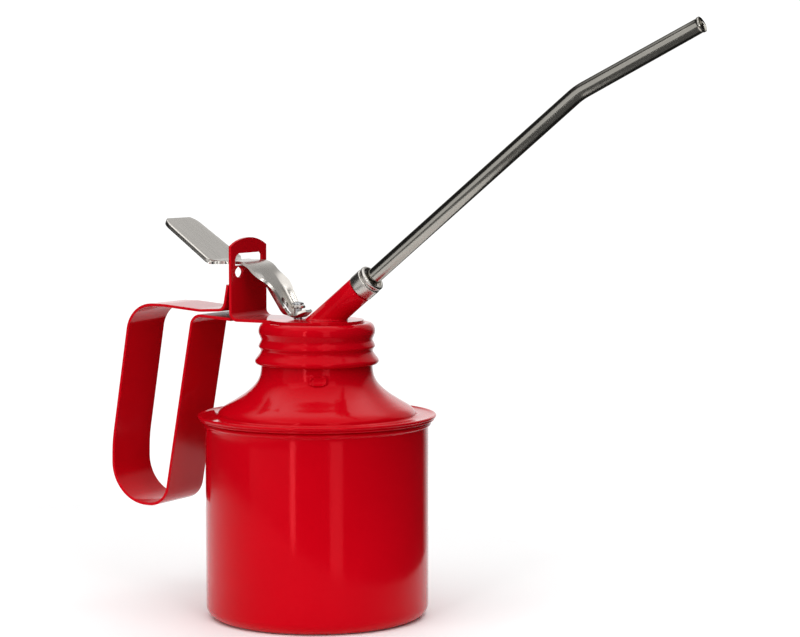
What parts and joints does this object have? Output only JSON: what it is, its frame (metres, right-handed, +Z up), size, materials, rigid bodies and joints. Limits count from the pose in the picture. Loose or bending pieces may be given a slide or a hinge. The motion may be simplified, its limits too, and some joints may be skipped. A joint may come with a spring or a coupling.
{
  "type": "thumb-pump oil can",
  "caption": "Thumb-pump oil can: flat-based round tank, screw-on head with strip handle, rocking steel lever, lift pump and long bent spout pipe.",
  "frame": {"origin": "centre of the tank's flat base, on the surface it stands on", "axes": "+Z up, +X from the handle towards the spout tip, +Y to the left when looking along the spout"},
  "size_m": [0.2582, 0.0962, 0.2372],
  "materials": {
    "red_enamel": "glossy",
    "bright_steel": "satin bright plating",
    "pipe_steel": "polished",
    "plain_steel": "satin",
    "spring_steel": "satin",
    "brass": "turned",
    "nitrile": "matte",
    "cork": "matte bonded cork"
  },
  "bodies": {
    "tank": {"tank_shell": "red_enamel", "shoulder": "red_enamel"},
    "seal": {"cap_gasket": "cork"},
    "head": {"cap": "red_enamel", "bracket": "red_enamel", "handle_strip": "red_enamel", "spout_boss": "red_enamel", "pump_barrel": "plain_steel", "delivery_elbow": "plain_steel", "gland_bush": "brass", "rod_packing": "nitrile", "packing_washer": "plain_steel", "return_spring": "spring_steel", "foot_valve": "brass", "ball_guard": "brass", "suction_tube": "plain_steel"},
    "lever": {"lever": "bright_steel"},
    "plunger": {"plunger_rod": "plain_steel", "rod_button": "bright_steel", "piston_nut": "plain_steel", "piston_washer": "plain_steel", "piston_cup": "nitrile", "piston_body": "brass"},
    "inlet_ball": {"inlet_ball": "plain_steel"},
    "spout_seal": {"spout_washer": "nitrile"},
    "spout": {"spout_collar": "bright_steel", "spout_pipe": "pipe_steel"}
  },
  "joints": [
    {"name": "cap_lift", "type": "slide", "parent": "tank", "child": "seal", "axis": [0, 0, 1], "range_m": [0, 0.011]},
    {"name": "cap_turn", "type": "hinge", "parent": "seal", "child": "head", "pos_m": [0, 0, 0.11], "axis": [0, 0, 1], "range_deg": [0, 721]},
    {"name": "lever_pivot", "type": "hinge", "parent": "head", "child": "lever", "pos_m": [-0.0328, 0, 0.1424], "axis": [0, -1, 0], "range_deg": [0, 15.05]},
    {"name": "plunger_slide", "type": "slide", "parent": "head", "child": "plunger", "axis": [0, 0, 1], "range_m": [0, 0.01005], "stiffness_N_per_m": 200, "springref_m": -0.008, "deforming": ["return_spring"]},
    {"name": "inlet_ball_lift", "type": "slide", "parent": "head", "child": "inlet_ball", "axis": [0, 0, 1], "range_m": [0, 0.0016]},
    {"name": "spout_unscrew", "type": "slide", "parent": "head", "child": "spout_seal", "axis": [0.7771, 0, 0.6293], "range_m": [0, 0.005]},
    {"name": "spout_turn", "type": "hinge", "parent": "spout_seal", "child": "spout", "pos_m": [0.0072, 0, 0.1225], "axis": [0.7771, 0, 0.6293], "range_deg": [0, 1442]}
  ],
  "couplings": [
    {"joint": "cap_turn", "follows": "cap_lift", "rad_per_m": 1142.4},
    {"joint": "lever_pivot", "follows": "plunger_slide", "rad_per_m": 26.042},
    {"joint": "spout_turn", "follows": "spout_unscrew", "rad_per_m": 5026.5}
  ]
}
